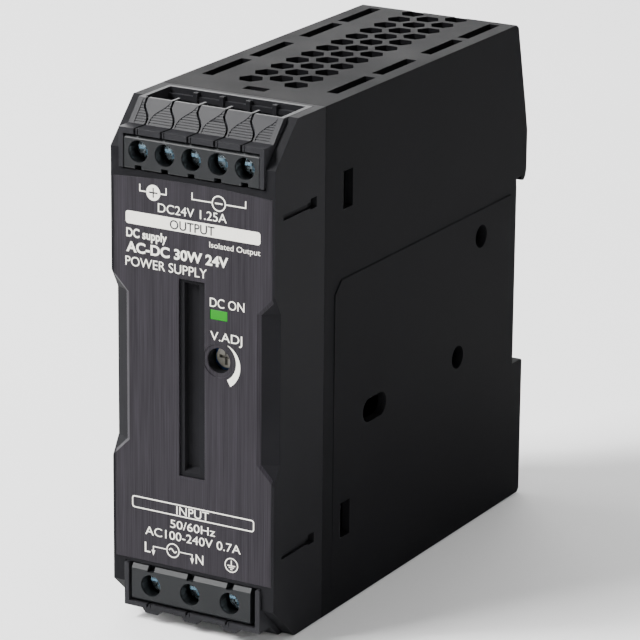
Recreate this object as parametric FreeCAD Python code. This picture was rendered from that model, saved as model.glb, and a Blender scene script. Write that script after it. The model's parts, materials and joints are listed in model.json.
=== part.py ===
"""DIN rail power supply: a 32 mm wide snap-together plastic case with its electronics inside.

Built in case coordinates: x = 0 at mid width (+x to the right seen from the front), y = 0 on the
front face and growing to the back, z = 0 on the underside. Every sub-part is moved at export so
that the origin lies on the rail seat, at the centre of the 35 mm rail.
"""
import FreeCAD, Part
import math
import os

V = FreeCAD.Vector

# ---- driving dimensions (mm) ------------------------------------------------------------------
DEPTH = 90.0
HEIGHT = 90.0
HALF_W = 15.8            # half width of the plain case walls
PLATEAU = 0.2            # raised panel on each side, makes the case 32 wide overall
WALL = 1.5
FRONT_WALL = 2.4
SEAM_Y = 16.2            # joint between front cover and rear case
SEAM_GAP = 0.06

RAIL_HEIGHT = 35.0
SEAT_Y = 86.2            # plane the rail's flanges lie on
HOOK_Z = 61.3            # underside of the fixed hook, where the rail's top edge sits
RAIL_BOTTOM_Z = HOOK_Z - RAIL_HEIGHT
FOOT_Z = 26.0            # top of the foot below the rail
ORIGIN = V(0, SEAT_Y, (HOOK_Z + RAIL_BOTTOM_Z) / 2)

TOP_CHAMFER = (7.1, 7.3)     # depth and height of the cheek chamfer at the top
BOTTOM_CHAMFER = (7.0, 6.4)

PLATE_HALF_W = 15.3          # nameplate
PLATE_Z = (10.75, 77.7)
PLATE_CROWN = 0.6            # rise of its top edge at mid width
PLATE_T = 0.4

HEAD_R = 2.0                 # M3 clamping screws
HEAD_H = 1.9
SHANK_R = 1.45
CLAMP_T = 1.0                # pressure plates
CELL_HALF = 2.15             # room for one clamp, either side of its screw
CONTACT_Y = (5.5, 9.4)       # front and back of the tapped contact blocks

# Terminal groups. Distances "v" are measured inwards from the top face (output) or bottom face
# (input); the input group is built the same way up and then turned over.
OUTPUT = dict(count=5, pitch=5.1, shift=0.0, guide_half=13.9, guide_wall=0.85,
              face_x=(-12.9, 12.9), face_v=(5.0, 10.55), hole_v=7.55, hole_r=1.88, ledge_v=(3.7, 4.7),
              slope_y=(2.5, 5.8), front_y=-0.35, inner_bevel=0.15, notch=0.65, tabs=False)
INPUT = dict(count=3, pitch=7.8, shift=-0.38, guide_half=13.35, guide_wall=0.85,
             face_x=(-11.95, 11.5), face_v=(3.4, 9.9), hole_v=6.5, hole_r=1.92, ledge_v=(2.3, 3.1),
             slope_y=(3.2, 5.8), front_y=-0.35, inner_bevel=0.75, notch=1.0, tabs=True)
BLOCK_BACK_Y = 9.9
TRENCH_BACK_Y = 14.3
OPENING_BACK_Y = 15.2
GUIDE_PROUD = 0.12           # guide frame stands this far in front of the terminal block
SLIT_X = -2.25               # upper end of each slit between flaps, from its terminal's centre

LAMP = (3.4, 6.7, 55.8, 57.5)    # x and z limits of the lamp window
TRIMMER = (5.0, 48.8)            # x, z of the trimmer's axis
TRIMMER_HOLE_R = 2.18
TRIMMER_RING_R = 2.9             # shallow ring round the hole, in the nameplate
ROTOR_FACE_Y = 2.6
FRONT_BOARD_Y = 6.6              # front face of the board behind the lamp and the trimmer

VENT_FLATS = 3.9
VENT_PITCH = 5.18
VENT_COLUMN_X = 4.4


# ---- helpers ----------------------------------------------------------------------------------
def box(x0, x1, y0, y1, z0, z1):
    return Part.makeBox(x1 - x0, y1 - y0, z1 - z0, V(x0, y0, z0))


def prism(points, direction):
    """Closed polygon of 3-D points pushed along a vector."""
    wire = Part.makePolygon([V(*p) for p in points] + [V(*points[0])])
    return Part.Face(wire).extrude(V(*direction))


def prism_x(profile, x0, x1):
    return prism([(x0, y, z) for y, z in profile], (x1 - x0, 0, 0))


def prism_y(profile, y0, y1):
    return prism([(x, y0, z) for x, z in profile], (0, y1 - y0, 0))


def prism_z(profile, z0, z1):
    return prism([(x, y, z0) for x, y in profile], (0, 0, z1 - z0))


def rod_x(y, z, r, x0, x1):
    return Part.makeCylinder(r, x1 - x0, V(x0, y, z), V(1, 0, 0))


def rod_y(x, z, r, y0, y1):
    return Part.makeCylinder(r, y1 - y0, V(x, y0, z), V(0, 1, 0))


def rod_z(x, y, r, z0, z1):
    return Part.makeCylinder(r, z1 - z0, V(x, y, z0), V(0, 0, 1))


def half_space(point, normal):
    """Large block that fills the side the normal points to."""
    size = 200.0
    block = Part.makeBox(size, size, size, V(-size / 2, -size / 2, 0))
    turn = FreeCAD.Rotation(V(0, 0, 1), V(*normal))
    block.Placement = FreeCAD.Placement(V(*point), turn)
    return block


def plane_through(a, b, c, towards):
    """Half space beyond the plane of three points, on the side of a fourth."""
    a, b, c = V(*a), V(*b), V(*c)
    normal = (b - a).cross(c - a)
    if normal.dot(V(*towards) - a) < 0:
        normal = normal * -1
    return half_space(tuple(a), tuple(normal))


def fuse(shapes):
    shapes = list(shapes)
    return shapes[0].multiFuse(shapes[1:]).removeSplitter() if len(shapes) > 1 else shapes[0]


def cut(shape, tools):
    return shape.cut(Part.makeCompound(list(tools))).removeSplitter()


def mirror_x(shape):
    return shape.mirror(V(0, 0, 0), V(1, 0, 0))


def both_sides(shape):
    return [shape, mirror_x(shape)]


def turn_over(shape):
    """Top to bottom, about the case's mid height."""
    return shape.mirror(V(0, 0, HEIGHT / 2), V(0, 0, 1))


# ---- shared outlines --------------------------------------------------------------------------
def cover_profile(inset=0.0):
    """Side outline of the front cover, (y, z), with its two cheek chamfers."""
    top_y, top_h = TOP_CHAMFER
    low_y, low_h = BOTTOM_CHAMFER
    i = inset
    k = 0.42 * i
    front = FRONT_WALL if inset else 0.0
    return [(front, low_h + k), (low_y + k, i), (SEAM_Y, i), (SEAM_Y, HEIGHT - i),
            (top_y + k, HEIGHT - i), (front, HEIGHT - top_h - k)]


def case_profile():
    """Side outline of the rear case, (y, z): foot, rail seat, hook and sloped shoulder."""
    y0 = SEAM_Y + SEAM_GAP
    relief = SEAT_Y - 0.1
    return [(y0, 0), (DEPTH - 0.6, 0), (DEPTH, 0.6), (DEPTH, FOOT_Z - 0.35),
            (DEPTH - 0.35, FOOT_Z), (relief, FOOT_Z), (relief, FOOT_Z + 1.4),
            (SEAT_Y, FOOT_Z + 1.5), (SEAT_Y, HOOK_Z - 1.4), (relief, HOOK_Z - 1.3),
            (relief, HOOK_Z), (88.0, HOOK_Z), (88.1, 60.55), (88.9, 60.4), (89.6, 61.0),
            (DEPTH, 62.2), (DEPTH, 69.6), (89.1, 74.0), (85.6, 89.4), (84.8, HEIGHT), (y0, HEIGHT)]


def grip_scoop():
    """Finger scoop on the right edge of the front, with one sloped facet at each end."""
    x_in, deep, reach = 12.4, 1.9, 2.8
    z_low, z_high = 32.0, 58.0
    big = 3.0
    edge = HALF_W + PLATEAU
    slope = deep / (HALF_W - x_in)
    plan = [(x_in, 0), (x_in - big, -slope * big), (edge + big, -slope * big),
            (edge + big, slope * (edge + big - x_in))]
    scoop = prism_z(plan, z_low - 2 * reach, z_high + 2 * reach)
    for z, sign in ((z_high, 1), (z_low, -1)):
        a = (x_in, 0, z)
        b = (HALF_W, deep, z)
        c = (x_in + reach, 0, z + sign * reach)
        scoop = scoop.cut(plane_through(a, b, c, (x_in, 0, z + sign * 20)))
    return scoop


def hexagon(x, y, flats):
    """Six-sided hole outline with two corners pointing along x."""
    r = flats / math.sqrt(3)
    turns = [math.radians(60 * k) for k in range(6)]
    return [(x + r * math.cos(t), y + r * math.sin(t)) for t in turns]


def vent_cutters(z0, z1):
    """Honeycomb, long side slots and one small front slot, cut through the top or bottom wall."""
    tools = []
    for x, first_y, count in ((-VENT_COLUMN_X, 26.0, 12), (0, 28.6, 11), (VENT_COLUMN_X, 26.0, 12)):
        for n in range(count):
            tools.append(prism_z(hexagon(x, first_y + n * VENT_PITCH, VENT_FLATS), z0, z1))
    for y0, y1 in ((24.5, 37.5), (40.0, 52.0), (57.2, 69.0), (71.0, 83.0)):
        tools += both_sides(box(11.1, 13.2, y0, y1, z0, z1))
    tools.append(box(-2.1, 2.1, 19.3, 21.4, z0, z1))
    return tools


# ---- rear case --------------------------------------------------------------------------------
def stopper_channel():
    """T-shaped guide for the rail stopper, open at the back, bottom and top of the foot."""
    wide = box(-6.0, 6.0, 86.2, 88.3, -1, FOOT_Z + 1)
    neck = box(-4.5, 4.5, 88.2, DEPTH + 1, -1, FOOT_Z + 1)
    spring_bay = box(-1.8, 1.8, 82.6, 86.3, 7.4, 23.8)
    return [wide, neck, spring_bay]


def side_openings():
    """Snap windows and bracket holes in the right wall."""
    x0, x1 = HALF_W - 3, HALF_W + 1
    tools = [box(x0, x1, 22.3, 25.5, 71.0, 77.5), box(x0, x1, 22.3, 25.5, 12.5, 18.8)]
    tools += [rod_x(72.3, 53.9, 2.1, x0, x1), rod_x(64.2, 33.4, 2.1, x0, x1)]
    tools += [rod_x(31.8, 32.9, 2.1, x0, x1), rod_x(35.8, 32.9, 2.1, x0, x1)]
    tools.append(box(x0, x1, 31.8, 35.8, 30.8, 35.0))
    return tools


def side_plateau():
    """Thin raised panel on the right wall, whose face runs out into the wall at the underside."""
    x0, x1 = HALF_W - 0.4, HALF_W + PLATEAU
    low, top, front, back = 0.6, 59.0, 19.6, 83.6
    section = [(x0, low), (HALF_W, low), (x1, top - PLATEAU), (HALF_W, top), (x0, top)]
    corner = 2.3
    outline = [(front, low), (back, low), (back, top), (front + corner, top), (front, top - corner)]
    return prism_y(section, front - 1, back + 1).common(prism_x(outline, x0 - 1, x1 + 1))


def make_rear_case():
    outer = prism_x(case_profile(), -HALF_W, HALF_W)
    inner_w = HALF_W - WALL
    cavity = [(SEAM_Y - 1, WALL), (84.2, WALL), (84.2, 60.5), (88.2, 63.0), (88.2, 69.4),
              (87.3, 73.6), (84.0, HEIGHT - WALL), (SEAM_Y - 1, HEIGHT - WALL)]
    shell = outer.cut(prism_x(cavity, -inner_w, inner_w))
    bay_wall = box(-3.3, 3.3, 81.2, 84.5, 6.0, 25.2)
    foot_wall = box(-8.0, 8.0, 84.0, 86.3, 0.8, FOOT_Z)
    guides = [box(-inner_w - 0.3, -13.0, y, y + 2.0, z, z + 2.0)
              for y in (30.0, 78.0) for z in (10.0, 82.0)]
    shell = fuse([shell, bay_wall, foot_wall] + guides + both_sides(side_plateau()))
    tools = stopper_channel() + vent_cutters(HEIGHT - 3, HEIGHT + 1) + vent_cutters(-1, 3)
    for tool in side_openings():
        tools += both_sides(tool)
    return cut(shell, tools)


# ---- front cover ------------------------------------------------------------------------------
def terminal_opening(group, clearance=0.05):
    """Space in the cover for one terminal group, between the two cheeks."""
    half = group["guide_half"] + clearance
    floor_v = group["face_v"][1] + 0.25
    return box(-half, half, -2, OPENING_BACK_Y, HEIGHT - floor_v, HEIGHT + 1)


def snap_arm(z0, z1):
    """Cantilever on the right that clicks into a window of the rear case."""
    x1 = HALF_W - WALL - 0.1
    arm = box(x1 - 1.15, x1, SEAM_Y - 2.5, 25.2, z0 + 0.4, z1 - 0.4)
    root = box(x1 - 1.15, x1 + 0.4, SEAM_Y - 2.5, SEAM_Y - 0.3, z0 + 0.4, z1 - 0.4)
    tooth = [(x1 - 0.2, 25.2), (x1, 25.2), (x1 + 1.1, 23.2), (x1 + 1.1, 22.6), (x1 - 0.2, 22.6)]
    return fuse([arm, root, prism_z(tooth, z0 + 0.4, z1 - 0.4)])


def leg_slots(group):
    tools = []
    for x in terminal_positions(group):
        tools.append(box(x - 1.0, x + 1.0, 7.4, 8.6, HEIGHT - 14.5, HEIGHT - 5))
    return tools


def make_front_cover():
    outer = prism_x(cover_profile(), -HALF_W, HALF_W)
    inner_w = HALF_W - WALL
    cavity = prism_x(cover_profile(WALL), -inner_w, inner_w)
    rear_room = box(-inner_w, inner_w, SEAM_Y - 0.5, SEAM_Y + 1, WALL, HEIGHT - WALL)
    shell = outer.cut(cavity).cut(rear_room)
    shelf = 1.5
    out_v = OUTPUT["face_v"][1] + 0.25
    in_v = INPUT["face_v"][1] + 0.25
    shelves = [box(-inner_w - 0.5, inner_w + 0.5, 1, SEAM_Y, HEIGHT - out_v - shelf, HEIGHT - out_v),
               box(-inner_w - 0.5, inner_w + 0.5, 1, SEAM_Y, in_v, in_v + shelf)]
    backs = [box(-inner_w - 0.5, inner_w + 0.5, OPENING_BACK_Y, SEAM_Y, HEIGHT - out_v, HEIGHT - 1),
             box(-inner_w - 0.5, inner_w + 0.5, OPENING_BACK_Y, SEAM_Y, 1, in_v)]
    arms = []
    for z0, z1 in ((71.0, 77.5), (12.5, 18.8)):
        arms += both_sides(snap_arm(z0, z1))
    shell = fuse([shell] + shelves + backs + arms)
    tools = [terminal_opening(OUTPUT), turn_over(terminal_opening(INPUT)), nameplate_blank(0.03)]
    tools += leg_slots(OUTPUT) + [turn_over(t) for t in leg_slots(INPUT)]
    tools += both_sides(grip_scoop())
    tools += front_slot_cutters()
    x0, x1, z0, z1 = LAMP
    tools.append(box(x0, x1, -1, FRONT_WALL + 1, z0, z1))
    tools.append(rod_y(*TRIMMER, TRIMMER_HOLE_R, -1, FRONT_WALL + 1))
    for z, hole in ((74.35, (73.6, 75.4)), (15.6, (14.8, 16.6))):
        tools += both_sides(box(HALF_W - 0.55, HALF_W + 1, 2.6, 13.4, z - 0.5, z + 0.5))
        tools += both_sides(box(HALF_W - 1.1, HALF_W + 1, 11.3, 13.4, hole[0], hole[1]))
    return cut(shell, tools)


def front_slot_cutters():
    """Long central slot: a shallow outer recess, a deeper inner slot and a sloped lower end."""
    outer = box(-2.6, 2.35, -1, PLATE_T, 27.3, 61.8)
    deep, low, high = 1.6, 28.1, 61.2
    facet = [(PLATE_T - 0.05, low), (deep, low + 0.8)]
    inner = prism_x([(-1, low)] + facet + [(deep, high), (-1, high)], -1.75, 1.15)
    return [outer, inner]


# ---- nameplate --------------------------------------------------------------------------------
def nameplate_blank(clearance=0.0):
    """Flat plate with a gently crowned top edge, set into the face of the cover."""
    half = PLATE_HALF_W + clearance
    low, high = PLATE_Z[0] - clearance, PLATE_Z[1] + clearance
    top = Part.Arc(V(-half, 0, high), V(0, 0, high + PLATE_CROWN), V(half, 0, high)).toShape()
    rest = Part.makePolygon([V(half, 0, high), V(half, 0, low), V(-half, 0, low), V(-half, 0, high)])
    wire = Part.Wire([top] + rest.Edges)
    plate = Part.Face(wire).extrude(V(0, PLATE_T, 0))
    return plate if clearance == 0 else plate.fuse(plate.translated(V(0, -1, 0)))


def make_front_nameplate():
    x0, x1, z0, z1 = LAMP
    tools = both_sides(grip_scoop()) + front_slot_cutters()
    tools.append(box(x0, x1, -1, 1, z0, z1))
    tools.append(rod_y(*TRIMMER, TRIMMER_HOLE_R, -1, 1))
    ring = rod_y(*TRIMMER, TRIMMER_RING_R, -1, 0.15)
    return cut(nameplate_blank(), tools + [ring])


# ---- terminals --------------------------------------------------------------------------------
def terminal_positions(group):
    middle = (group["count"] - 1) / 2
    return [(n - middle) * group["pitch"] + group["shift"] for n in range(group["count"])]


def make_terminal_block(group):
    """Insulating bar: one cell per terminal, open upwards, and a wire floor behind it."""
    left, right = group["face_x"]
    front = group["front_y"]
    top, floor = HEIGHT - group["face_v"][0], HEIGHT - group["face_v"][1]
    hole = HEIGHT - group["hole_v"]
    outer_bevel, inner_bevel = 0.45, group["inner_bevel"]
    bar = prism_x([(front, floor + inner_bevel), (front + inner_bevel * 0.7, floor),
                   (BLOCK_BACK_Y, floor), (BLOCK_BACK_Y, top), (front + outer_bevel, top),
                   (front, top - outer_bevel)], left, right)
    trench_floor = box(left, right, BLOCK_BACK_Y - 0.5, OPENING_BACK_Y - 0.05, floor, floor + 1.2)
    body = fuse([bar, trench_floor])
    tools = []
    for x in terminal_positions(group):
        tools.append(rod_y(x, hole, group["hole_r"], front - 1, 1))
        tools.append(rod_y(x, hole, 2.15, front + 0.7, CONTACT_Y[0]))
        tools.append(box(x - CELL_HALF, x + CELL_HALF, 2.3, CONTACT_Y[1] + 0.02, hole - 2.3, top + 1))
        tools.append(box(x - 1.0, x + 1.0, 7.4, 8.6, floor - 1, hole))
        tools.append(box(x - 0.66, x + 0.66, front - 1, 1.3, floor - 1, floor + group["notch"]))
    return cut(body, tools)


def slit_cutter(x):
    """Wavy vertical slit that parts two guide flaps, cut down through slope and ledge."""
    path = [V(x + SLIT_X, 7.2, 0), V(x + SLIT_X, 5.0, 0), V(x - 1.6, 4.35, 0), V(x - 0.85, 3.6, 0),
            V(x - 0.72, 2.6, 0), V(x - 0.85, -1.5, 0)]
    width = V(0.42, 0, 0)
    curve = Part.BSplineCurve()
    curve.interpolate(path[1:5])
    back = Part.makePolygon([path[0] + width, path[0], path[1]]).Edges
    side = curve.toShape()
    front = Part.makePolygon([path[4], path[5], path[5] + width, path[4] + width]).Edges
    other = curve.copy()
    other.translate(width)
    last = Part.makePolygon([path[1] + width, path[0] + width]).Edges
    wire = Part.Wire(Part.__sortEdges__(back + [side] + front + [other.toShape()] + last))
    return Part.Face(wire).extrude(V(0, 0, 12)).translated(V(0, 0, HEIGHT - 6.5))


def guide_outline(group):
    """Outer side outline of the wire guide, (y, z): ledge, slope and flat top."""
    front = group["front_y"] - GUIDE_PROUD
    ledge = HEIGHT - group["ledge_v"][0]
    y0, y1 = group["slope_y"]
    return [(front, ledge), (y0, ledge), (y1, HEIGHT)]


def funnel(group, x):
    """Plan shape of the smooth funnel on one flap: slit on its left, curved edge on its right."""
    y0, y1 = group["slope_y"]
    run = y1 - y0
    reach = group["pitch"] - 2.5
    steps = ((reach, 0.08), (reach * 0.7, 0.3), (reach * 0.27, 0.53), (0.25, 0.68), (0.2, 1.05))
    curve = Part.BSplineCurve()
    curve.interpolate([V(x + dx, y1 - s * run, 0) for dx, s in steps])
    right = curve.toShape()
    first, last = curve.StartPoint, curve.EndPoint
    rest = Part.makePolygon([last, V(x - 0.6, last.y, 0), V(x - 0.6, 3.6, 0), V(x - 1.5, 4.6, 0),
                             V(x - 2.1, 5.0, 0), V(x - 2.1, y1 + 1, 0), V(first.x, y1 + 1, 0), first])
    wire = Part.Wire(Part.__sortEdges__([right] + rest.Edges))
    return Part.Face(wire).extrude(V(0, 0, 8)).translated(V(0, 0, HEIGHT - 6))


def flap_relief(group):
    """Lowered, finely ribbed ground of the sloped flaps, leaving a smooth funnel on each."""
    y0, y1 = group["slope_y"]
    ledge = HEIGHT - group["ledge_v"][0]
    run, rise = y1 - y0, HEIGHT - ledge
    length = math.hypot(run, rise)
    inner = group["guide_half"] - group["guide_wall"] - 0.15

    def band(s0, s1, deep):
        """Strip across the slope between two distances up it, sunk to a given depth."""
        lift = (-rise / length, run / length)
        foot = [(y0 + run * s / length, ledge + rise * s / length) for s in (s0, s1)]
        low = [(y - lift[0] * deep, z - lift[1] * deep) for y, z in foot]
        high = [(y + lift[0], z + lift[1]) for y, z in foot]
        return prism_x([low[0], low[1], high[1], high[0]], -inner, inner)

    ground, groove, pitch = 0.09, 0.2, 0.5
    strips = [band(0.12, length - 0.3, ground)]
    strips += [band(n * pitch - 0.09, n * pitch + 0.09, groove) for n in range(1, int(length / pitch))]
    relief = strips[0].multiFuse(strips[1:])
    return relief.cut(Part.makeCompound([funnel(group, x) for x in terminal_positions(group)]))


def lip_tab(x, front, ledge):
    """Low trapezoid on the front lip that bridges the slit at one terminal."""
    rise = 0.85
    profile = [(x - 1.6, ledge - 0.3), (x - 1.6, ledge + 0.2), (x - 1.0, ledge + rise),
               (x + 1.4, ledge + rise), (x + 2.0, ledge + 0.2), (x + 2.0, ledge - 0.3)]
    return prism_y(profile, front + 0.1, 2.2)


def make_wire_guide(group):
    """Frame round the terminal face with a row of flaps over the wires and an open wire trench."""
    half, wall = group["guide_half"], group["guide_wall"]
    inner = half - wall
    front = group["front_y"] - GUIDE_PROUD
    floor = HEIGHT - group["face_v"][1] + 0.02
    ledge_top, ledge_low = (HEIGHT - v for v in group["ledge_v"])
    y0, y1 = group["slope_y"]
    outline = guide_outline(group)
    back = OPENING_BACK_Y - 0.03
    side = [(front, floor)] + outline + [(back, HEIGHT), (back, floor)]
    walls = both_sides(prism_x(side, inner, half))
    thick = 0.95
    strip = 0.65
    flap = outline + [(y1 + strip, HEIGHT), (y1 + strip, HEIGHT - thick), (y1 + 0.4, HEIGHT - thick),
                      (y0 + 0.4, ledge_low + 0.1), (y0, ledge_low), (front, ledge_low)]
    cover = prism_x(flap, -inner - 0.1, inner + 0.1)
    rail = [(TRENCH_BACK_Y, HEIGHT), (back, HEIGHT), (back, HEIGHT - 4.5), (TRENCH_BACK_Y, HEIGHT - 4.5)]
    lip = [(TRENCH_BACK_Y - 0.7, HEIGHT - 1.0), (TRENCH_BACK_Y + 0.1, HEIGHT - 1.0),
           (TRENCH_BACK_Y + 0.1, HEIGHT - 2.6), (TRENCH_BACK_Y - 0.7, HEIGHT - 1.9)]
    pieces = walls + [cover, prism_x(rail, -inner - 0.1, inner + 0.1),
                      prism_x(lip, -inner - 0.1, inner + 0.1)]
    positions = terminal_positions(group)
    if group["tabs"]:
        bar_x, bar_z = half - wall / 2, floor + 0.2
        pieces += both_sides(rod_y(bar_x, bar_z, wall / 2, front, 3.0))
    base = HEIGHT - group["face_v"][0] + 0.08
    pieces.append(box(-inner - 0.1, inner + 0.1, BLOCK_BACK_Y + 0.1, BLOCK_BACK_Y + 0.9,
                      base - 0.8, base + 1.0))
    partition = [(4.6, base), (BLOCK_BACK_Y + 0.9, base), (BLOCK_BACK_Y + 0.9, base + 1.0),
                 (y1 + 3.0, HEIGHT - 2.6), (y1 + 2.6, HEIGHT), (y1 + 0.2, HEIGHT),
                 (4.6, HEIGHT - 2.0)]
    for x in positions[1:]:
        middle = x - group["pitch"] / 2
        pieces.append(box(middle - 0.4, middle + 0.4, TRENCH_BACK_Y - 1.0, TRENCH_BACK_Y + 0.1,
                          HEIGHT - 3.4, HEIGHT - 0.25))
        pieces.append(prism_x(partition, x + SLIT_X - 0.5, x + SLIT_X))
    body = fuse(pieces)
    tools = []
    for x in positions:
        tools.append(slit_cutter(x))
        tools.append(box(x - 0.1, x + 0.06, front - 1, front + 0.4, ledge_low - 1, ledge_top + 1))
    body = cut(cut(body, tools), [flap_relief(group)])
    return fuse([body] + [lip_tab(x, front, ledge_top) for x in positions]) if group["tabs"] else body


def make_contact(group, x):
    """Tapped block with a solder leg."""
    hole = HEIGHT - group["hole_v"]
    y0, y1 = CONTACT_Y
    block = box(x - 2.0, x + 2.0, y0 + 0.02, y1 - 0.02, hole - 2.25, hole + 2.25)
    leg = box(x - 0.8, x + 0.8, 7.6, 8.4, board_z(group) - 1.4, hole - 2.0)
    return cut(fuse([block, leg]), [rod_y(x, hole, SHANK_R + 0.05, y0 - 1, y1 + 1)])


def make_clamp(group, x):
    """Square pressure plate with turned-down lips either side of the screw."""
    hole = HEIGHT - group["hole_v"]
    y1 = CONTACT_Y[0] - 0.03
    plate = box(x - 2.0, x + 2.0, y1 - CLAMP_T, y1, hole - 2.2, hole + 2.2)
    grip = [rod_x(y1, hole + s * 1.85, 0.12, x - 3, x + 3) for s in (-1, 1)]
    return cut(plate, [rod_y(x, hole, SHANK_R + 0.1, 0, 9)] + grip)


def make_screw(group, x):
    """Combination-head M3 clamping screw, captive behind the face of the block."""
    hole = HEIGHT - group["hole_v"]
    seat = CONTACT_Y[0] - 0.03 - CLAMP_T - 0.03
    face = seat - HEAD_H
    head = rod_y(x, hole, HEAD_R, face, seat)
    head = head.makeChamfer(0.25, [e for e in head.Edges if abs(e.BoundBox.YMax - face) < 1e-6])
    shank = rod_y(x, hole, SHANK_R, seat - 0.3, 9.0)
    cross = [box(x - 1.65, x + 1.65, face - 1, face + 0.95, hole - 0.28, hole + 0.28),
             box(x - 0.28, x + 0.28, face - 1, face + 0.95, hole - 1.15, hole + 1.15)]
    return cut(fuse([head, shank]), cross)


def board_z(group):
    """Underside of the small board the terminal legs are soldered to."""
    return HEIGHT - group["face_v"][1] - 4.6


def make_terminal_board(group):
    z = board_z(group)
    board = box(-12.9, 12.9, 4.0, 15.6, z, z + 1.2)
    return cut(board, [box(x - 0.85, x + 0.85, 7.55, 8.45, z - 1, z + 2)
                       for x in terminal_positions(group)])


# ---- lamp and voltage trimmer -----------------------------------------------------------------
def make_light_pipe():
    x0, x1, z0, z1 = LAMP
    gap = 0.03
    window = box(x0 + gap, x1 - gap, 0.05, FRONT_BOARD_Y - 1.3, z0 + gap, z1 - gap)
    flange = box(x0 - 0.8, x1 + 0.8, FRONT_WALL + gap, FRONT_WALL + 1.0, z0 - 0.8, z1 + 0.8)
    return fuse([window, flange])


def make_indicator_led():
    x0, x1, z0, z1 = LAMP
    mid_x, mid_z = (x0 + x1) / 2, (z0 + z1) / 2
    return box(mid_x - 1.0, mid_x + 1.0, FRONT_BOARD_Y - 1.2, FRONT_BOARD_Y, mid_z - 0.6, mid_z + 0.6)


def make_front_board():
    return box(-1.5, 12.5, FRONT_BOARD_Y, FRONT_BOARD_Y + 1.2, 43.0, 60.5)


def make_trimmer_body():
    x, z = TRIMMER
    half, bore_r, bore_end = 2.8, 1.05, FRONT_BOARD_Y - 0.5
    body = box(x - half, x + half, ROTOR_FACE_Y + 1.35, FRONT_BOARD_Y, z - half, z + half)
    return body.cut(rod_y(x, z, bore_r, 0, bore_end))


def make_trimmer_rotor():
    """Turning disc with an arrow-shaped cross slot, on a short stem."""
    x, z = TRIMMER
    face = ROTOR_FACE_Y
    disc = rod_y(x, z, 1.85, face, face + 1.3)
    stem = rod_y(x, z, 1.0, face + 1.2, FRONT_BOARD_Y - 0.6)
    floor = face + 0.7
    tools = [box(x - 1.4, x + 1.4, 0, floor, z - 0.28, z + 0.28),
             box(x - 0.28, x + 0.28, 0, floor, z - 1.4, z + 0.9)]
    return cut(fuse([disc, stem]), tools)


# ---- rail stopper -----------------------------------------------------------------------------
def make_rail_stopper():
    """Sliding latch under the rail with a sloped claw, spring boss and screwdriver slot."""
    low, top = 0.5, FOOT_Z - 0.3
    flanges = box(-5.93, 5.93, 86.27, 88.22, low, top)
    nose = [(88.0, low), (89.6, low), (89.6, 25.6), (89.6, 26.1), (88.5, 27.2), (87.5, 27.2),
            (87.5, top - 0.5), (88.0, top - 0.5)]
    claw = prism_x(nose, -4.4, 4.4)
    boss = box(-1.4, 1.4, 83.0, 86.5, 21.6, 23.4)
    slot = box(-3.0, 3.0, 87.6, 91, 2.2, 3.8)
    grips = [box(-4.5, 4.5, 89.2, 91, z, z + 0.8) for z in (7.0, 9.0, 11.0)]
    return cut(fuse([flanges, claw, boss]), [slot] + grips)


def make_stopper_spring():
    """Compression spring under the stopper's boss."""
    low, high, coil_r, wire_r, turns = 7.8, 21.2, 1.2, 0.22, 9
    pitch = (high - low) / turns
    helix = Part.makeHelix(pitch, high - low, coil_r)
    helix.translate(V(0, 84.4, low))
    profile = Part.Wire(Part.makeCircle(wire_r, V(coil_r, 84.4, low), V(0, 1, 0)))
    return Part.Wire(helix.Edges).makePipeShell([profile], True, True)


# ---- electronics ------------------------------------------------------------------------------
BOARD_X = (-12.95, -11.35)
ON_BOARD = BOARD_X[1] + 0.02


def make_main_board():
    return box(BOARD_X[0], BOARD_X[1], 18.5, 81.0, 5.0, 85.0)


def make_transformer_core():
    """Two E halves as one ferrite frame around the winding."""
    y0, y1, z0, z1 = 31.0, 53.0, 36.0, 60.0
    x1 = ON_BOARD + 17.0
    frame = box(ON_BOARD + 4.0, x1, y0, y1, z0, z1)
    windows = [box(ON_BOARD + 3, x1 + 1, y, y + 5.5, z0 + 4, z1 - 4) for y in (y0 + 2.8, y1 - 8.3)]
    return cut(frame, windows)


def make_transformer_winding():
    """Coil former with flanges, wound and taped, through the core windows."""
    z0, z1 = 40.1, 55.9
    x0, x1 = ON_BOARD, ON_BOARD + 20.0
    body = box(x0 + 1.0, x1, 33.9, 50.1, z0 + 1.5, z1 - 1.5)
    flanges = [box(x0 + 0.2, x1 + 1.0, 33.85, 50.15, z, z + 1.5) for z in (z0, z1 - 1.5)]
    pins = [box(x0, x0 + 1.0, y, y + 1.0, z, z + 1.0) for y in (35, 40, 45, 49) for z in (z0, z1 - 1)]
    solid = fuse([body] + flanges + pins)
    return solid.cut(box(ON_BOARD + 3.9, ON_BOARD + 17.1, 39.25, 44.75, z0 - 1, z1 + 1)) \
        .cut(make_transformer_core().copy())


def make_bulk_capacitor():
    """Large electrolytic can with a crimped neck, lying along the back."""
    can = rod_z(ON_BOARD + 8.6, 68.0, 8.0, 30.0, 60.0)
    neck = rod_z(ON_BOARD + 8.6, 68.0, 9.5, 32.2, 33.0).cut(
        rod_z(ON_BOARD + 8.6, 68.0, 7.6, 31.5, 34.0))
    legs = [box(ON_BOARD, ON_BOARD + 8.6, 68.0 + s * 3.5 - 0.4, 68.0 + s * 3.5 + 0.4, 28.9, 29.7)
            for s in (-1, 1)]
    tails = [rod_z(ON_BOARD + 8.6, 68.0 + s * 3.5, 0.4, 28.9, 30.5) for s in (-1, 1)]
    return fuse([can.cut(neck)] + legs + tails)


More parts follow.
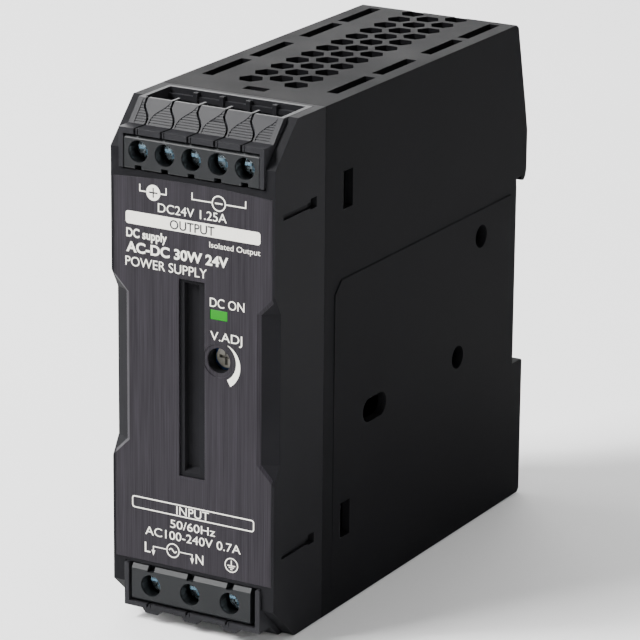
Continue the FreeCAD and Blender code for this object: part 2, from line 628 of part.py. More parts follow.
def make_output_capacitors():
    cans = []
    for y in (62.0, 74.0):
        can = rod_x(y, 75.0, 5.0, ON_BOARD + 0.4, ON_BOARD + 20.0)
        groove = rod_x(y, 75.0, 6.0, ON_BOARD + 2.0, ON_BOARD + 2.6).cut(
            rod_x(y, 75.0, 4.7, ON_BOARD + 1.5, ON_BOARD + 3.0))
        cans.append(can.cut(groove))
        cans[-1] = fuse([cans[-1]] + [rod_x(y + s, 75.0, 0.35, ON_BOARD, ON_BOARD + 0.6)
                                      for s in (-2.5, 2.5)])
    return Part.makeCompound(cans)


CHOKE = (70.0, 15.5)     # y, z of the common-mode choke's axis


def make_choke_core():
    ring = rod_x(CHOKE[0], CHOKE[1], 8.0, ON_BOARD + 2.0, ON_BOARD + 9.0)
    return ring.cut(rod_x(CHOKE[0], CHOKE[1], 4.2, ON_BOARD, ON_BOARD + 12.0))


def make_choke_windings():
    """Two coils, each a run of turns round one side of the ring."""
    y, z = CHOKE
    coils = []
    for side in (-1, 1):
        turns = []
        for n in range(7):
            angle = math.radians(90 * (1 + side) + (n - 3) * 17 + 90)
            turn = box(-4.35, 4.35, -0.45, 0.45, -2.75, 2.75).cut(
                box(-3.55, 3.55, -1, 1, -1.95, 1.95))
            turn.Placement = FreeCAD.Placement(
                V(ON_BOARD + 5.5, y + 6.1 * math.sin(angle), z + 6.1 * math.cos(angle)),
                FreeCAD.Rotation(V(1, 0, 0), -math.degrees(angle)))
            turns.append(turn)
        coils += turns
    return Part.makeCompound(coils)


def make_x_capacitor():
    return box(ON_BOARD, ON_BOARD + 12.5, 47.0, 60.0, 8.0, 14.5)


def make_y_capacitors():
    discs = []
    for y in (48.0, 54.0):
        disc = rod_y(ON_BOARD + 5.0, 22.0, 3.4, y, y + 2.6)
        legs = [box(ON_BOARD, ON_BOARD + 3.0, y + 1.0, y + 1.6, 22.0 + s, 22.6 + s) for s in (-2.8, 2.2)]
        discs.append(fuse([disc] + legs))
    return Part.makeCompound(discs)


def make_input_fuse():
    barrel = rod_y(ON_BOARD + 4.2, 9.0, 2.3, 24.0, 40.0)
    caps = [rod_y(ON_BOARD + 4.2, 9.0, 2.6, y, y + 4.0) for y in (22.0, 38.0)]
    clips = [box(ON_BOARD, ON_BOARD + 2.2, y + 1.0, y + 3.0, 8.0, 10.0) for y in (22.0, 38.0)]
    return fuse([barrel] + caps + clips)


def disc_component(y, z, radius, thick, lift):
    disc = rod_y(ON_BOARD + lift, z, radius, y, y + thick)
    legs = [box(ON_BOARD, ON_BOARD + lift - radius * 0.6, y + thick / 2 - 0.3, y + thick / 2 + 0.3,
                z + s - 0.3, z + s + 0.3) for s in (-2.5, 2.5)]
    return fuse([disc] + legs)


def make_bridge_rectifier():
    body = box(ON_BOARD + 2.5, ON_BOARD + 14.0, 57.0, 60.5, 20.0, 28.0)
    return fuse([body] + [box(ON_BOARD, ON_BOARD + 3.0, 58.4, 59.0, z, z + 0.8)
                          for z in (20.6, 22.8, 24.8, 26.6)])


def make_heatsink(y, z0, z1, fin):
    """Upright aluminium plate with two folded fins."""
    x0, x1 = ON_BOARD, ON_BOARD + 21.0
    plate = box(x0, x1, y, y + 1.6, z0, z1)
    fins = [box(x0 + 2.0, x1, min(y, y + fin), max(y, y + fin), z, z + 1.4) for z in (z0, z1 - 1.4)]
    return fuse([plate] + fins)


def make_power_package(y, z, side):
    """TO-220 style body and tab, standing against its heatsink."""
    x0 = ON_BOARD + 4.0
    tab = box(x0, x0 + 15.0, min(y, y + side * 1.2), max(y, y + side * 1.2), z, z + 10.0)
    body = box(x0, x0 + 9.0, min(y, y + side * 4.2), max(y, y + side * 4.2), z, z + 10.0)
    legs = [box(ON_BOARD, x0 + 1.0, min(y + side * 2, y + side * 2.6),
                max(y + side * 2, y + side * 2.6), z + k, z + k + 0.8) for k in (1.9, 4.6, 7.3)]
    hole = rod_y(x0 + 12.2, z + 5.0, 1.8, y - 6, y + 6)
    return cut(fuse([tab, body] + legs), [hole])


def make_output_inductor():
    core = rod_x(46.0, 76.0, 5.0, ON_BOARD + 0.3, ON_BOARD + 13.0)
    waist = rod_x(46.0, 76.0, 6.0, ON_BOARD + 2.0, ON_BOARD + 11.5).cut(
        rod_x(46.0, 76.0, 4.4, ON_BOARD + 1.0, ON_BOARD + 12.5))
    return core.cut(waist)


def small_chip(y, z, across, tall):
    """Flat package with two rows of leads."""
    body = box(ON_BOARD + 0.5, ON_BOARD + 3.0, y, y + across, z, z + tall)
    count = int(tall // 2.54)
    leads = [box(ON_BOARD, ON_BOARD + 0.9, y - 0.8, y + across + 0.8, z + 0.6 + 2.3 * n,
                 z + 1.1 + 2.3 * n) for n in range(count)]
    return fuse([body] + leads)


# ---- write every sub-part ---------------------------------------------------------------------
def build_all():
    parts = {
        "rear_case": make_rear_case(),
        "front_cover": make_front_cover(),
        "front_nameplate": make_front_nameplate(),
        "light_pipe": make_light_pipe(),
        "indicator_led": make_indicator_led(),
        "front_pcb": make_front_board(),
        "trimmer_body": make_trimmer_body(),
        "trimmer_rotor": make_trimmer_rotor(),
        "rail_stopper": make_rail_stopper(),
        "stopper_spring": make_stopper_spring(),
        "main_pcb": make_main_board(),
        "transformer_core": make_transformer_core(),
        "transformer_winding": make_transformer_winding(),
        "bulk_capacitor": make_bulk_capacitor(),
        "output_capacitors": make_output_capacitors(),
        "choke_core": make_choke_core(),
        "choke_windings": make_choke_windings(),
        "x_capacitor": make_x_capacitor(),
        "y_capacitors": make_y_capacitors(),
        "input_fuse": make_input_fuse(),
        "surge_varistor": disc_component(30.0, 21.0, 5.0, 3.5, 6.5),
        "inrush_thermistor": disc_component(40.0, 22.0, 4.2, 3.0, 5.7),
        "bridge_rectifier": make_bridge_rectifier(),
        "primary_heatsink": make_heatsink(27.5, 28.0, 58.0, -5.0),
        "switching_transistor": make_power_package(27.45, 40.0, -1),
        "secondary_heatsink": make_heatsink(33.0, 64.0, 84.0, -6.0),
        "output_rectifier": make_power_package(34.65, 68.0, 1),
        "output_inductor": make_output_inductor(),
        "optocoupler": small_chip(56.0, 62.5, 5.0, 6.5),
        "control_ic": small_chip(44.0, 28.0, 5.0, 9.5),
    }
    for name, group in (("output", OUTPUT), ("input", INPUT)):
        place = turn_over if name == "input" else (lambda shape: shape)
        spots = terminal_positions(group)
        parts[name + "_terminal_block"] = place(make_terminal_block(group))
        parts[name + "_wire_guide"] = place(make_wire_guide(group))
        parts[name + "_terminal_pcb"] = place(make_terminal_board(group))
        contacts = Part.makeCompound([make_contact(group, x) for x in spots])
        parts[name + "_contacts"] = place(contacts)
        for number, x in enumerate(spots, 1):
            parts[f"{name}_clamp_{number}"] = place(make_clamp(group, x))
            parts[f"{name}_screw_{number}"] = place(make_screw(group, x))
    return parts


os.makedirs("parts", exist_ok=True)
for node, shape in build_all().items():
    shape.translated(ORIGIN * -1).exportStep("parts/" + node + ".step")
    print(f"{node:24s} solids {len(shape.Solids)} valid {shape.isValid()} volume {shape.Volume:9.1f}")
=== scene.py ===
"""Looks of a DIN rail power supply: moulded black case, brushed nameplate with a printed legend,
screw terminals, lit lamp, trimmer and rail stopper, on a plain pale studio floor."""
import json
import math

import bpy
from mathutils import Euler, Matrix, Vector


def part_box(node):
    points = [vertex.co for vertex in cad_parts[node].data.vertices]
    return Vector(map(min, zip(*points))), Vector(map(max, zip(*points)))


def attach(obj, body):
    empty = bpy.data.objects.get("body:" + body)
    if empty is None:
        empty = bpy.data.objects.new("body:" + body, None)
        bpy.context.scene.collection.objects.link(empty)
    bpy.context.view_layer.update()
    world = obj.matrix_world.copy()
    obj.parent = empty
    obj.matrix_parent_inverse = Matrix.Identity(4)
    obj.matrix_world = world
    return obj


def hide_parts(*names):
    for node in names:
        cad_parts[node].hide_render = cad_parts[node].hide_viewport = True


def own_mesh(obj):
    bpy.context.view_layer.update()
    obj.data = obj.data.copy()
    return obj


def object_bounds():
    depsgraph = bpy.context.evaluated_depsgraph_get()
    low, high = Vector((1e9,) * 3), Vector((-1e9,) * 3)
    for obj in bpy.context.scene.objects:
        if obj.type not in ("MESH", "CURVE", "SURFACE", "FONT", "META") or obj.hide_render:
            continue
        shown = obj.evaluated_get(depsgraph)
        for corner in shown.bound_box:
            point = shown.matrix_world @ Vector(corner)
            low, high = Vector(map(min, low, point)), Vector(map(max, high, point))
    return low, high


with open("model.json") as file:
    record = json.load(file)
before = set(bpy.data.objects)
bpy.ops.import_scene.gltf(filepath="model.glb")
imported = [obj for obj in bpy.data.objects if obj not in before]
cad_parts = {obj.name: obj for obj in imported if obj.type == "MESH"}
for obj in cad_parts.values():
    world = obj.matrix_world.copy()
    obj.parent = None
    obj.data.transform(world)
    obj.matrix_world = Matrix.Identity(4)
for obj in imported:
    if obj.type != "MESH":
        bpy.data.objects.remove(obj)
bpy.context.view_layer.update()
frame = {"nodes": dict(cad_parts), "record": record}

MM = 0.001
FRONT_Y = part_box("front_cover")[0].y
BASE_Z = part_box("rear_case")[0].z

# printed legend, mm from the front face's lower middle
INK = 0.02                # thickness of the print
LINE = 0.2                # width of printed lines
FINE = 0.16               # width of the input arrows' lines
ARROW_HALF = 0.35         # half the width of an arrow's head
TRIMMER = (5.0, 48.8)     # middle of the trimmer's hole
ARC_INNER_R = 3.45        # inner edge of the arc printed round it
SIGN_R = 1.35             # printed signs of the output
INPUT_SIGN_R = 1.3        # printed signs of the input
OUTPUT_MARK_Z = 75.75
INPUT_MARK_Z = 13.65
BRACKET_TOP_Z = 76.9

# wire of the stopper's spring, mm
WIRE_R = 0.21
WIRE_ROOM = 0.22          # distance from the coil's middle line to the box it fills
SPRING_TURNS = 10

# studio, m
FLOOR_GAP = 0.0002        # floor below the lowest point of the model


def at(x, y, z):
    """Point given in mm from the front face's lower middle, in the scene's own frame."""
    return Vector((x * MM, FRONT_Y + y * MM, BASE_Z + z * MM))


# ---- materials --------------------------------------------------------------------------------
class Nodes:
    """Small wrapper that adds and links shader nodes."""

    def __init__(self, name):
        self.material = bpy.data.materials.new(name)
        self.material.use_nodes = True
        self.tree = self.material.node_tree
        self.shader = self.tree.nodes["Principled BSDF"]
        self.coords = self.add("ShaderNodeTexCoord").outputs["Object"]

    def add(self, kind, **settings):
        node = self.tree.nodes.new(kind)
        for key, value in settings.items():
            setattr(node, key, value)
        return node

    def link(self, source, target):
        self.tree.links.new(source, target)

    def stretched(self, scale):
        mapping = self.add("ShaderNodeMapping")
        mapping.inputs["Scale"].default_value = scale
        self.link(self.coords, mapping.inputs["Vector"])
        return mapping.outputs["Vector"]

    def noise(self, scale, detail=3.0, vector=None, rough=0.5):
        node = self.add("ShaderNodeTexNoise")
        node.inputs["Scale"].default_value = scale
        node.inputs["Detail"].default_value = detail
        node.inputs["Roughness"].default_value = rough
        self.link(vector or self.coords, node.inputs["Vector"])
        return node.outputs["Fac"]

    def ramp(self, source, stops):
        node = self.add("ShaderNodeValToRGB")
        node.color_ramp.elements[0].position = stops[0][0]
        node.color_ramp.elements[0].color = (*stops[0][1], 1)
        node.color_ramp.elements[1].position = stops[-1][0]
        node.color_ramp.elements[1].color = (*stops[-1][1], 1)
        for position, color in stops[1:-1]:
            node.color_ramp.elements.new(position).color = (*color, 1)
        self.link(source, node.inputs["Fac"])
        return node.outputs["Color"]

    def spread(self, source, low, high):
        """Takes the middle of a noise's range to the range from low to high."""
        node = self.add("ShaderNodeMapRange")
        node.inputs["From Min"].default_value = 0.3
        node.inputs["From Max"].default_value = 0.7
        node.inputs["To Min"].default_value = low
        node.inputs["To Max"].default_value = high
        self.link(source, node.inputs["Value"])
        return node.outputs["Result"]

    def color(self, source, stops):
        self.link(self.ramp(source, stops), self.shader.inputs["Base Color"])

    def gloss(self, source, low, high):
        self.link(self.spread(source, low, high), self.shader.inputs["Roughness"])

    def bump(self, source, strength, depth):
        node = self.add("ShaderNodeBump")
        node.inputs["Strength"].default_value = strength
        node.inputs["Distance"].default_value = depth
        self.link(source, node.inputs["Height"])
        self.link(node.outputs["Normal"], self.shader.inputs["Normal"])

    def set(self, **values):
        for key, value in values.items():
            self.shader.inputs[key.replace("_", " ")].default_value = value


def tint(color, k):
    return tuple(min(1.0, c * k) for c in color)


def moulded(name, color, rough=0.45, grain=0.35, grain_scale=5200.0, sheen=0.5):
    """Moulded plastic: fine spark-eroded grain, faint flow marks in colour and gloss."""
    n = Nodes(name)
    flow = n.noise(60.0, 4.0)
    fine = n.noise(grain_scale, 2.0)
    n.color(flow, [(0.3, tint(color, 0.86)), (0.7, tint(color, 1.14))])
    n.gloss(flow, rough - 0.05, rough + 0.05)
    n.bump(fine, grain, 0.00004)
    n.set(Specular_IOR_Level=sheen)
    return n.material


def brushed_plate(name, dark, light):
    """Dark nameplate with fine vertical brushing that shows in colour, gloss and relief."""
    n = Nodes(name)
    broad = n.noise(1.0, 2.0, n.stretched((700, 1, 7)))
    narrow = n.noise(1.0, 3.0, n.stretched((6200, 1, 60)), 0.65)
    broad_share = 0.3
    scaled = n.add("ShaderNodeMath", operation="MULTIPLY")
    scaled.inputs[1].default_value = broad_share
    n.link(broad, scaled.inputs[0])
    mix = n.add("ShaderNodeMath", operation="MULTIPLY_ADD")
    mix.inputs[1].default_value = 1 - broad_share
    n.link(narrow, mix.inputs[0])
    n.link(scaled.outputs[0], mix.inputs[2])
    streaks = mix.outputs[0]
    middle = tuple((a + b) / 2 for a, b in zip(dark, light))
    n.color(streaks, [(0.34, dark), (0.5, middle), (0.68, light)])
    n.gloss(streaks, 0.5, 0.4)
    n.bump(narrow, 0.2, 0.00002)
    n.set(Specular_IOR_Level=0.14)
    return n.material


def metal(name, color, rough=0.3, scratch=(900, 900, 900)):
    """Plated or rolled metal with fine scratches and patchy gloss."""
    n = Nodes(name)
    patch = n.noise(900.0, 3.0)
    lines = n.noise(1.0, 3.0, n.stretched(scratch), 0.65)
    n.color(patch, [(0.3, tint(color, 0.8)), (0.7, color)])
    n.gloss(lines, rough - 0.08, rough + 0.14)
    n.bump(lines, 0.3, 0.00002)
    n.set(Metallic=1.0)
    return n.material


def lamp_lens(name, color, glow, strength):
    """Lit window: an even glow over a faintly speckled lens."""
    n = Nodes(name)
    n.color(n.noise(2500.0, 2.0), [(0.3, tint(color, 0.9)), (0.7, color)])
    n.set(Roughness=0.3, Specular_IOR_Level=0.2)
    n.set(Emission_Color=(*glow, 1), Emission_Strength=strength)
    return n.material


def printed_ink(name, color):
    """Screen-printed ink: matt, with a faint uneven cover."""
    n = Nodes(name)
    cover = n.noise(2600.0, 4.0)
    n.color(cover, [(0.3, tint(color, 0.93)), (0.6, color)])
    n.bump(cover, 0.2, 0.00001)
    n.set(Roughness=0.6)
    return n.material


def circuit_board(name, base, track):
    """Solder mask with the raised pattern of the tracks showing through."""
    n = Nodes(name)
    cells = n.add("ShaderNodeTexVoronoi", distance="MANHATTAN", feature="DISTANCE_TO_EDGE")
    cells.inputs["Scale"].default_value = 420.0
    n.link(n.coords, cells.inputs["Vector"])
    lines = n.spread(cells.outputs["Distance"], 0.0, 1.0)
    n.color(lines, [(0.2, track), (0.5, base)])
    n.bump(lines, 0.4, 0.00005)
    n.set(Roughness=0.35)
    return n.material


BLACK = (0.0065, 0.0065, 0.0072)
MATERIALS = {
    "case_plastic": moulded("case_plastic", BLACK, 0.42, 0.4, sheen=0.007),
    # cover_plastic: the case's black made 1.6 times lighter, painted light that stands in for the key
    # light falling on the front-facing cover
    "cover_plastic": moulded("cover_plastic", tint(BLACK, 1.6), 0.4, 0.35, sheen=0.012),
    "nameplate_dark": brushed_plate("nameplate_dark", (0.0035, 0.0028, 0.0044), (0.0235, 0.0205, 0.0262)),
    "terminal_plastic": moulded("terminal_plastic", (0.0088, 0.0097, 0.0108), 0.42, 0.2, sheen=0.17),
    # guide_plastic: black plastic made about 2.7 times lighter than the case, painted sheen that stands
    # in for the key light's gloss on the flap slopes
    "guide_plastic": moulded("guide_plastic", (0.0175, 0.0175, 0.0195), 0.36, 0.2, sheen=0.05),
    "zinc_steel": metal("zinc_steel", (0.72, 0.86, 0.94), 0.22),
    "tinned_brass": metal("tinned_brass", (0.75, 0.7, 0.58), 0.35),
    "lens_green": lamp_lens("lens_green", (0.0, 0.03, 0.0), (0.0, 1.0, 0.0), 0.42),
    "led_white": moulded("led_white", (0.8, 0.85, 0.75), 0.3, 0.1),
    # board_green: its own dark green solder mask, darkened further with painted shade for the shade
    # inside the case
    "board_green": circuit_board("board_green", (0.008, 0.045, 0.02), (0.014, 0.075, 0.033)),
    "trimmer_blue": moulded("trimmer_blue", (0.03, 0.09, 0.28), 0.3, 0.1),
    "rotor_beige": moulded("rotor_beige", (0.24, 0.23, 0.2), 0.5, 0.3),
    "latch_plastic": moulded("latch_plastic", (0.0085, 0.0085, 0.0095), 0.38, 0.25, sheen=0.08),
    "spring_steel": metal("spring_steel", (0.6, 0.6, 0.62), 0.25),
    "ferrite": moulded("ferrite", (0.03, 0.03, 0.034), 0.6, 0.8, 2600.0),
    "winding_tape": moulded("winding_tape", (0.7, 0.46, 0.03), 0.25, 0.2, 1200.0),
    "capacitor_sleeve": moulded("capacitor_sleeve", (0.02, 0.025, 0.05), 0.25, 0.15),
    "copper_wire": metal("copper_wire", (0.75, 0.3, 0.12), 0.3),
    "film_box": moulded("film_box", (0.5, 0.38, 0.06), 0.35, 0.15),
    "ceramic_blue": moulded("ceramic_blue", (0.05, 0.16, 0.45), 0.3, 0.25, 1800.0),
    "fuse_glass": moulded("fuse_glass", (0.65, 0.62, 0.52), 0.4, 0.15),
    "epoxy_green": moulded("epoxy_green", (0.06, 0.12, 0.07), 0.45, 0.4, 1500.0),
    "epoxy_black": moulded("epoxy_black", (0.012, 0.012, 0.012), 0.5, 0.4),
    # heatsink: grey metal darkened well below bare aluminium, painted shade that stands in for the shade
    # inside the case seen through the vents
    "heatsink": metal("heatsink", (0.34, 0.345, 0.35), 0.5, (300, 4000, 300)),
    "legend_ink": printed_ink("legend_ink", (0.8, 0.785, 0.71)),
}


# ---- carried-over CAD nodes: material and softened edges ---------------------------------------
EDGE_MM = {"rear_case": 0.22, "front_cover": 0.18, "front_nameplate": 0.05, "rail_stopper": 0.15,
           "output_terminal_block": 0.1, "input_terminal_block": 0.1, "output_wire_guide": 0.09,
           "input_wire_guide": 0.1, "light_pipe": 0.08, "trimmer_rotor": 0.06}
WELD_REACH = 1e-6         # m
FLAT_WITHIN = 0.15        # degrees between faces that count as one flat face
EDGE_FROM = 28.0          # degrees between faces that make an edge to be rounded


def soften(obj, width):
    """Rounds the sharp edges of a CAD solid without touching its mesh."""
    weld = obj.modifiers.new("weld", "WELD")
    weld.merge_threshold = WELD_REACH
    flat = obj.modifiers.new("flat faces", "DECIMATE")
    flat.decimate_type = "DISSOLVE"
    flat.angle_limit = math.radians(FLAT_WITHIN)
    bevel = obj.modifiers.new("edges", "BEVEL")
    bevel.width = width * MM
    bevel.segments = 2
    bevel.limit_method = "ANGLE"
    bevel.angle_limit = math.radians(EDGE_FROM)
    bevel.harden_normals = True
    bevel.use_clamp_overlap = True


def dress_cad_nodes():
    slot_of = {part["node"]: part["material_slot"] for part in frame["record"]["subparts"]}
    for name, obj in frame["nodes"].items():
        obj.data.materials.clear()
        obj.data.materials.append(MATERIALS[slot_of[name]])
        if name in EDGE_MM:
            soften(obj, EDGE_MM[name])


# ---- pieces made from curves and text ----------------------------------------------------------
def as_mesh(obj, look):
    """Turns a curve or text into a plain mesh at its place, on the case, with the named material."""
    bpy.context.view_layer.update()
    depsgraph = bpy.context.evaluated_depsgraph_get()
    mesh = bpy.data.meshes.new_from_object(obj.evaluated_get(depsgraph))
    mesh.transform(obj.matrix_world)
    name = obj.name
    bpy.data.objects.remove(obj)
    made = bpy.data.objects.new(name, mesh)
    bpy.context.collection.objects.link(made)
    mesh.materials.clear()
    mesh.materials.append(MATERIALS[look])
    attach(made, "case")
    return made


def outline_piece(name, *loops):
    """Flat printed shape from closed (x, z) loops; inner loops become holes."""
    curve = bpy.data.curves.new(name, "CURVE")
    curve.dimensions = "2D"
    curve.fill_mode = "BOTH"
    curve.extrude = INK * MM / 2
    for loop in loops:
        spline = curve.splines.new("POLY")
        spline.points.add(len(loop) - 1)
        for point, (x, z) in zip(spline.points, loop):
            point.co = (x * MM, z * MM, 0, 1)
        spline.use_cyclic_u = True
    obj = bpy.data.objects.new(name, curve)
    bpy.context.collection.objects.link(obj)
    obj.location = at(0, -INK / 2, 0)
    obj.rotation_euler = (math.pi / 2, 0, 0)
    return as_mesh(obj, "legend_ink")


def word(name, text, x0, x1, z, height, y=0.0, bold=0.0, ink="legend_ink"):
    """Line of lettering fitted between x0 and x1, with its feet at z and the given cap height."""
    font = bpy.data.curves.new(name, "FONT")
    font.body = text
    font.size = 10 * MM
    font.offset = bold * MM
    font.extrude = INK * MM / 2
    obj = bpy.data.objects.new(name, font)
    bpy.context.collection.objects.link(obj)
    bpy.context.view_layer.update()
    low = [min(c[i] for c in obj.bound_box) for i in range(2)]
    high = [max(c[i] for c in obj.bound_box) for i in range(2)]
    scale_x = (x1 - x0) * MM / (high[0] - low[0])
    scale_z = height * MM / (high[1] - max(low[1], 0.0))
    obj.rotation_euler = (math.pi / 2, 0, 0)
    obj.scale = (scale_x, scale_z, 1)
    obj.location = at(x0, y - INK / 2, z) - Vector((low[0] * scale_x, 0, 0))
    return as_mesh(obj, ink)


# ---- outlines ----------------------------------------------------------------------------------
def circle(x, z, r, count=48):
    turns = [2 * math.pi * k / count for k in range(count)]
    return [(x + r * math.cos(t), z + r * math.sin(t)) for t in turns]


def rectangle(x0, x1, z0, z1):
    return [(x0, z0), (x1, z0), (x1, z1), (x0, z1)]


def bar(x, z, half_long, half_high):
    """Rectangle given by its middle and half sizes."""
    return rectangle(x - half_long, x + half_long, z - half_high, z + half_high)


def rounded(x0, x1, z0, z1, r, count=6):
    """Rectangle with round corners."""
    corners = ((x1 - r, z1 - r, 0), (x0 + r, z1 - r, 90), (x0 + r, z0 + r, 180), (x1 - r, z0 + r, 270))
    points = []
    for cx, cz, start in corners:
        for k in range(count + 1):
            t = math.radians(start + 90 * k / count)
            points.append((cx + r * math.cos(t), cz + r * math.sin(t)))
    return points


def stroke(points, width):
    """Closed outline of a line of constant width through the points."""
    headings = [math.atan2(z1 - z0, x1 - x0) for (x0, z0), (x1, z1) in zip(points, points[1:])]
    left, right = [], []
    for k, (x, z) in enumerate(points):
        before = headings[max(k - 1, 0)]
        after = headings[min(k, len(headings) - 1)]
        half_turn = (after - before) / 2
        mid = before + half_turn
        reach = width / 2 / max(math.cos(half_turn), 0.3)
        left.append((x - reach * math.sin(mid), z + reach * math.cos(mid)))
        right.append((x + reach * math.sin(mid), z - reach * math.cos(mid)))
    return left + right[::-1]


def plus_shape(x, z, arm, half):
    """Outline of a plus sign."""
    return [(x - arm, z - half), (x - half, z - half), (x - half, z - arm), (x + half, z - arm),
            (x + half, z - half), (x + arm, z - half), (x + arm, z + half), (x + half, z + half),
            (x + half, z + arm), (x - half, z + arm), (x - half, z + half), (x - arm, z + half)]


def swelling_arc():
    """Arc round the trimmer that grows wider clockwise, from thin at the top to thick below."""
    x, z = TRIMMER
    start, end, count = math.radians(58), math.radians(-60), 40
    rim, inner = [], []
    for k in range(count + 1):
        u = k / count
        t = start + (end - start) * u
        outer_r = ARC_INNER_R + (0.05 + 1.65 * u - 0.45 * u * u)
        rim.append((x + outer_r * math.cos(t), z + outer_r * math.sin(t)))
        inner.append((x + ARC_INNER_R * math.cos(t), z + ARC_INNER_R * math.sin(t)))
    return rim + inner[::-1]


# ---- printed legend ---------------------------------------------------------------------------
def output_legend():
    """Poles of the output terminals, the rating and the bar that says what the terminals are."""
    plus_x, minus_x, z = -7.5, 5.1, OUTPUT_MARK_Z
    outline_piece("legend_plus_disc", circle(plus_x, z, SIGN_R), plus_shape(plus_x, z, 0.85, 0.13))
    outline_piece("legend_plus_bracket",
                  stroke([(-10.1, BRACKET_TOP_Z), (-10.1, z), (plus_x - 1.2, z)], LINE),
                  stroke([(plus_x + 1.2, z), (-5.0, z), (-5.0, BRACKET_TOP_Z)], LINE))
    outline_piece("legend_minus_ring", circle(minus_x, z, SIGN_R), circle(minus_x, z, 1.13))
    outline_piece("legend_minus_bar", bar(minus_x, z, 0.7, 0.12))
    outline_piece("legend_minus_bracket",
                  stroke([(0.0, BRACKET_TOP_Z), (0.0, z), (minus_x - 1.3, z)], LINE),
                  stroke([(minus_x + 1.3, z), (10.2, z), (10.2, BRACKET_TOP_Z)], LINE))
    word("legend_output_rating", "DC24V 1.25A", -6.6, 6.6, 72.65, 1.5)
    outline_piece("legend_output_bar", rounded(-12.9, 13.0, 69.85, 72.05, 0.5))
    word("legend_output_word", "OUTPUT", -4.3, 4.3, 70.15, 1.55, -INK, bold=0.12, ink="nameplate_dark")


def middle_legend():
    """What the supply is, and the labels of the lamp and the trimmer."""
    word("legend_class", "Isolated Output", 3.3, 13.0, 68.1, 0.95)
    word("legend_kind", "DC supply", -12.8, -4.9, 67.6, 1.5, bold=0.22)
    word("legend_rating", "AC-DC 30W 24V", -12.8, 6.9, 65.05, 1.75, bold=0.28)
    word("legend_title", "POWER SUPPLY", -13.0, 2.8, 62.6, 1.6)
    word("legend_lamp", "DC ON", 3.4, 10.0, 58.0, 1.55)
    word("legend_adjust", "V.ADJ", 3.5, 9.6, 52.3, 1.5)
    outline_piece("legend_adjust_arc", swelling_arc())


def input_legend():
    """Rating of the input and the marks over its three terminals."""
    outline_piece("legend_input_box", rounded(-12.0, 12.0, 20.0, 22.15, 0.5),
                  rounded(-11.8, 11.8, 20.2, 21.95, 0.35))
    word("legend_input_word", "INPUT", -3.2, 3.2, 20.3, 1.5)
    word("legend_frequency", "50/60Hz", -4.4, 4.4, 17.75, 1.45)
    word("legend_input_rating", "AC100-240V 0.7A", -9.4, 9.4, 15.6, 1.5)
    word("legend_line", "L", -9.5, -8.4, 12.4, 1.8)
    word("legend_neutral", "N", 0.6, 2.1, 12.2, 1.7)
    mains_x = -3.9
    mains_mark(mains_x)
    input_arrow("legend_line_arrow", mains_x - 1.25, -7.8)
    input_arrow("legend_neutral_arrow", mains_x + 1.25, -0.1)
    earth_mark(7.6, 13.3)


def mains_mark(x):
    """Ring with one wave of alternating current in it."""
    z, steps = INPUT_MARK_Z, 24
    outline_piece("legend_ac_ring", circle(x, z, INPUT_SIGN_R), circle(x, z, 1.1))
    wave = [(x - 0.75 + 1.5 * k / steps, z + 0.3 * math.sin(2 * math.pi * k / steps))
            for k in range(steps + 1)]
    outline_piece("legend_ac_wave", stroke(wave, LINE))


def input_arrow(name, start, x):
    """Line from the mains mark that turns down into an arrow over a terminal."""
    z, half, tip_z, head_z = INPUT_MARK_Z, FINE / 2, 12.0, 13.0
    near, far = sorted((start, x))
    outline_piece(name, rectangle(near - half, far + half, z - half, z + half))
    outline_piece(name + "_drop", rectangle(x - half, x + half, 12.8, z - half))
    outline_piece(name + "_head", [(x - ARROW_HALF, head_z), (x + ARROW_HALF, head_z), (x, tip_z)])


def earth_mark(x, z):
    """Ring with the earth sign in it."""
    outline_piece("legend_earth_ring", circle(x, z, INPUT_SIGN_R), circle(x, z, 1.12))
    outline_piece("legend_earth_stem", rectangle(x - 0.09, x + 0.09, z - 0.05, z + 0.85))
    for k, half in enumerate((0.75, 0.48, 0.2)):
        outline_piece(f"legend_earth_bar_{k + 1}", bar(x, z - 0.1 - 0.32 * k, half, 0.09))


# ---- spring under the stopper -----------------------------------------------------------------
def coil_spring():
    """Round wire coil, closer wound at its ends."""
    low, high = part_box("stopper_spring")
    centre = (low + high) / 2
    radius = (high.x - low.x) / 2 - WIRE_ROOM * MM
    height = high.z - low.z - 2 * WIRE_ROOM * MM
    curve = bpy.data.curves.new("stopper_coil", "CURVE")
    curve.dimensions = "3D"
    curve.bevel_depth = WIRE_R * MM
    curve.bevel_resolution = 3
    curve.use_fill_caps = True
    spline = curve.splines.new("POLY")
    count = SPRING_TURNS * 28
    spline.points.add(count)
    for k, point in enumerate(spline.points):
        u = k / count
        eased = 0.75 * u + 0.25 * (0.5 - 0.5 * math.cos(math.pi * u))
        t = 2 * math.pi * SPRING_TURNS * u
        point.co = (centre.x + radius * math.cos(t), centre.y + radius * math.sin(t),
                    low.z + WIRE_ROOM * MM + height * eased, 1)
    obj = bpy.data.objects.new("stopper_coil", curve)
    bpy.context.collection.objects.link(obj)
    coil = as_mesh(obj, "spring_steel")
    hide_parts("stopper_spring")
    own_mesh(coil)


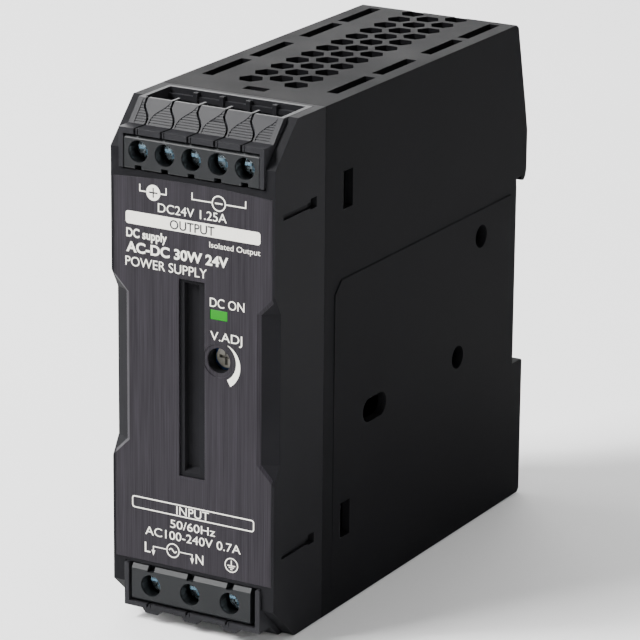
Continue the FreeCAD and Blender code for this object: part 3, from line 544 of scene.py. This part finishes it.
# ---- studio -----------------------------------------------------------------------------------
def floor_and_backdrop():
    """Pale studio cove: a flat round floor that curves up into a wall all the way round."""
    floor_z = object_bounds()[0].z - FLOOR_GAP
    flat, bend, tall, around = 2.3, 0.6, 3.0, 64
    rows = [(flat, 0.0)]
    for degrees in range(10, 91, 10):
        t = math.radians(degrees)
        rows.append((flat + bend * math.sin(t), bend - bend * math.cos(t)))
    rows.append((flat + bend, tall))
    vertices = [(0, 0, floor_z)]
    for radius, z in rows:
        for k in range(around):
            t = 2 * math.pi * k / around
            vertices.append((radius * math.cos(t), radius * math.sin(t), z + floor_z))
    faces = [(0, 1 + k, 1 + (k + 1) % around) for k in range(around)]
    for row in range(len(rows) - 1):
        low, high = 1 + row * around, 1 + (row + 1) * around
        faces += [(low + k, high + k, high + (k + 1) % around, low + (k + 1) % around)
                  for k in range(around)]
    mesh = bpy.data.meshes.new("studio_sweep")
    mesh.from_pydata(vertices, [], faces)
    mesh.shade_smooth()
    sweep = bpy.data.objects.new("studio_sweep", mesh)
    bpy.context.collection.objects.link(sweep)
    n = Nodes("studio_paper")
    n.color(n.noise(4.0, 2.0), [(0.3, (0.86, 0.86, 0.86)), (0.7, (0.9, 0.9, 0.9))])
    n.set(Roughness=0.9)
    mesh.materials.append(n.material)


def area_light(name, place, aim, size, power):
    data = bpy.data.lights.new(name, "AREA")
    data.shape = "RECTANGLE"
    data.size, data.size_y = size
    data.energy = power
    light = bpy.data.objects.new(name, data)
    light.location = place
    light.rotation_euler = (Vector(aim) - Vector(place)).to_track_quat("-Z", "Y").to_euler()
    bpy.context.collection.objects.link(light)


def lights():
    middle = at(0, 45, 45)
    area_light("key", (-0.9, -1.1, 1.2), middle, (0.6, 0.6), 50.0)
    area_light("slope_glint", (-0.9, -0.72, 1.45), middle, (0.35, 0.35), 44.0)
    area_light("left_side", (-1.3, -0.1, 0.25), middle, (0.5, 0.5), 12.0)
    area_light("behind_left", (-0.75, 1.25, 0.55), middle, (1.0, 0.7), 9.0)
    area_light("right_fill", (1.4, -0.5, 0.5), middle, (0.7, 0.7), 2.5)
    area_light("over_floor", (-0.3, 0.9, 2.2), (0.2, 1.0, 0.0), (2.4, 2.4), 32.0)
    world = bpy.data.worlds.new("studio")
    world.use_nodes = True
    background = world.node_tree.nodes["Background"]
    background.inputs["Color"].default_value = (1, 1, 1, 1)
    background.inputs["Strength"].default_value = 0.07
    bpy.context.scene.world = world


def camera():
    """Long lens from the front right and above, shifted so that the case fills the view."""
    data = bpy.data.cameras.new("camera")
    data.sensor_width = 36.0
    data.lens = 214.76
    data.shift_x = 0.004828125
    data.shift_y = -0.0214375
    data.clip_start = 0.05
    data.clip_end = 20.0
    obj = bpy.data.objects.new("camera", data)
    obj.location = at(316.1, -510.64, 245.09)
    obj.rotation_euler = Euler([math.radians(a) for a in (72.655, -0.471, 29.947)], "XYZ")
    bpy.context.collection.objects.link(obj)
    bpy.context.scene.camera = obj


camera()
dress_cad_nodes()
output_legend()
middle_legend()
input_legend()
coil_spring()
floor_and_backdrop()
lights()
